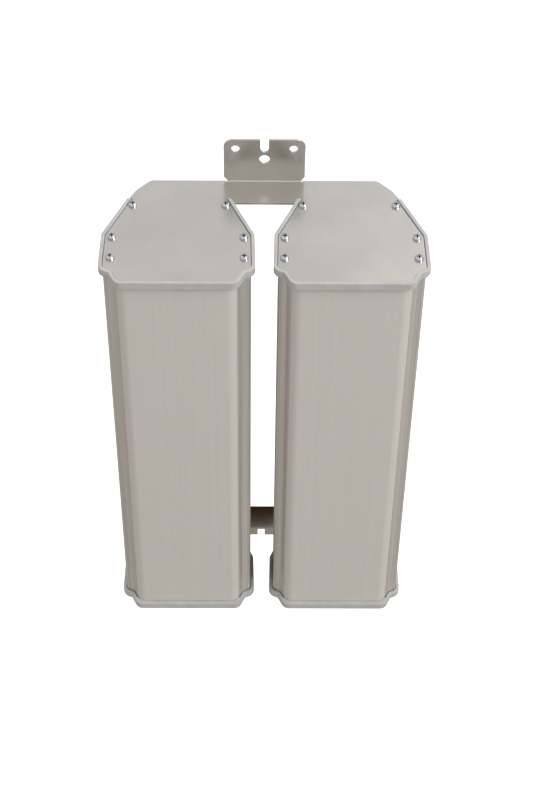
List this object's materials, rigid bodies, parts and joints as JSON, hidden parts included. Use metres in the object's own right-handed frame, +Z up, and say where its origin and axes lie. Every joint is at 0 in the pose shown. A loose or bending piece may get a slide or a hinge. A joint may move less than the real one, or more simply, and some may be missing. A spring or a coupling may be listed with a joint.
{
  "type": "twin-module led road luminaire",
  "caption": "Twin upright LED light modules in aluminium housings with opal diffusers, joined top and bottom by sheet brackets with folded wall tabs.",
  "frame": {"origin": "centre of the four corner holes of the two bracket tabs, on the tabs' rear faces", "axes": "+Z up along the housings, +X to the right seen from the front, +Y back towards the wall; the diffusers face -Y"},
  "size_m": [0.211, 0.0994, 0.4138],
  "materials": {
    "bracket_sheet": "fine-brushed satin sheet",
    "housing_aluminium": "satin anodised extrusion",
    "opal_diffuser": "opal polycarbonate, satin",
    "seal_rubber": "matt light grey moulding",
    "zinc_screws": "bright zinc plate",
    "board_white": "white solder mask on aluminium",
    "led_phosphor": "yellow phosphor in a white package",
    "connector_white": "moulded nylon",
    "driver_case": "black potted case",
    "terminal_plastic": "moulded polyamide",
    "lead_insulation": "insulated wire",
    "gland_plastic": "grey polyamide",
    "gland_rubber": "black rubber"
  },
  "bodies": {
    "root": {"left_board_connector": "connector_white", "left_board_screws": "zinc_screws", "left_diffuser": "opal_diffuser", "left_driver": "driver_case", "left_gland_body": "gland_plastic", "left_gland_bush": "gland_rubber", "left_gland_cap_nut": "gland_plastic", "left_gland_lock_nut": "gland_plastic", "left_gland_washer": "gland_rubber", "left_housing": "housing_aluminium", "left_led_leads": "lead_insulation", "left_leds": "led_phosphor", "left_lower_end_screws": "zinc_screws", "left_lower_end_seal": "seal_rubber", "left_lower_led_board": "board_white", "left_supply_leads": "lead_insulation", "left_terminal_block": "terminal_plastic", "left_upper_end_screws": "zinc_screws", "left_upper_end_seal": "seal_rubber", "left_upper_led_board": "board_white", "left_web_screws": "zinc_screws", "lower_bracket": "bracket_sheet", "right_board_connector": "connector_white", "right_board_screws": "zinc_screws", "right_diffuser": "opal_diffuser", "right_driver": "driver_case", "right_gland_body": "gland_plastic", "right_gland_bush": "gland_rubber", "right_gland_cap_nut": "gland_plastic", "right_gland_lock_nut": "gland_plastic", "right_gland_washer": "gland_rubber", "right_housing": "housing_aluminium", "right_led_leads": "lead_insulation", "right_leds": "led_phosphor", "right_lower_end_screws": "zinc_screws", "right_lower_end_seal": "seal_rubber", "right_lower_led_board": "board_white", "right_supply_leads": "lead_insulation", "right_terminal_block": "terminal_plastic", "right_upper_end_screws": "zinc_screws", "right_upper_end_seal": "seal_rubber", "right_upper_led_board": "board_white", "right_web_screws": "zinc_screws", "upper_bracket": "bracket_sheet"}
  },
  "joints": []
}
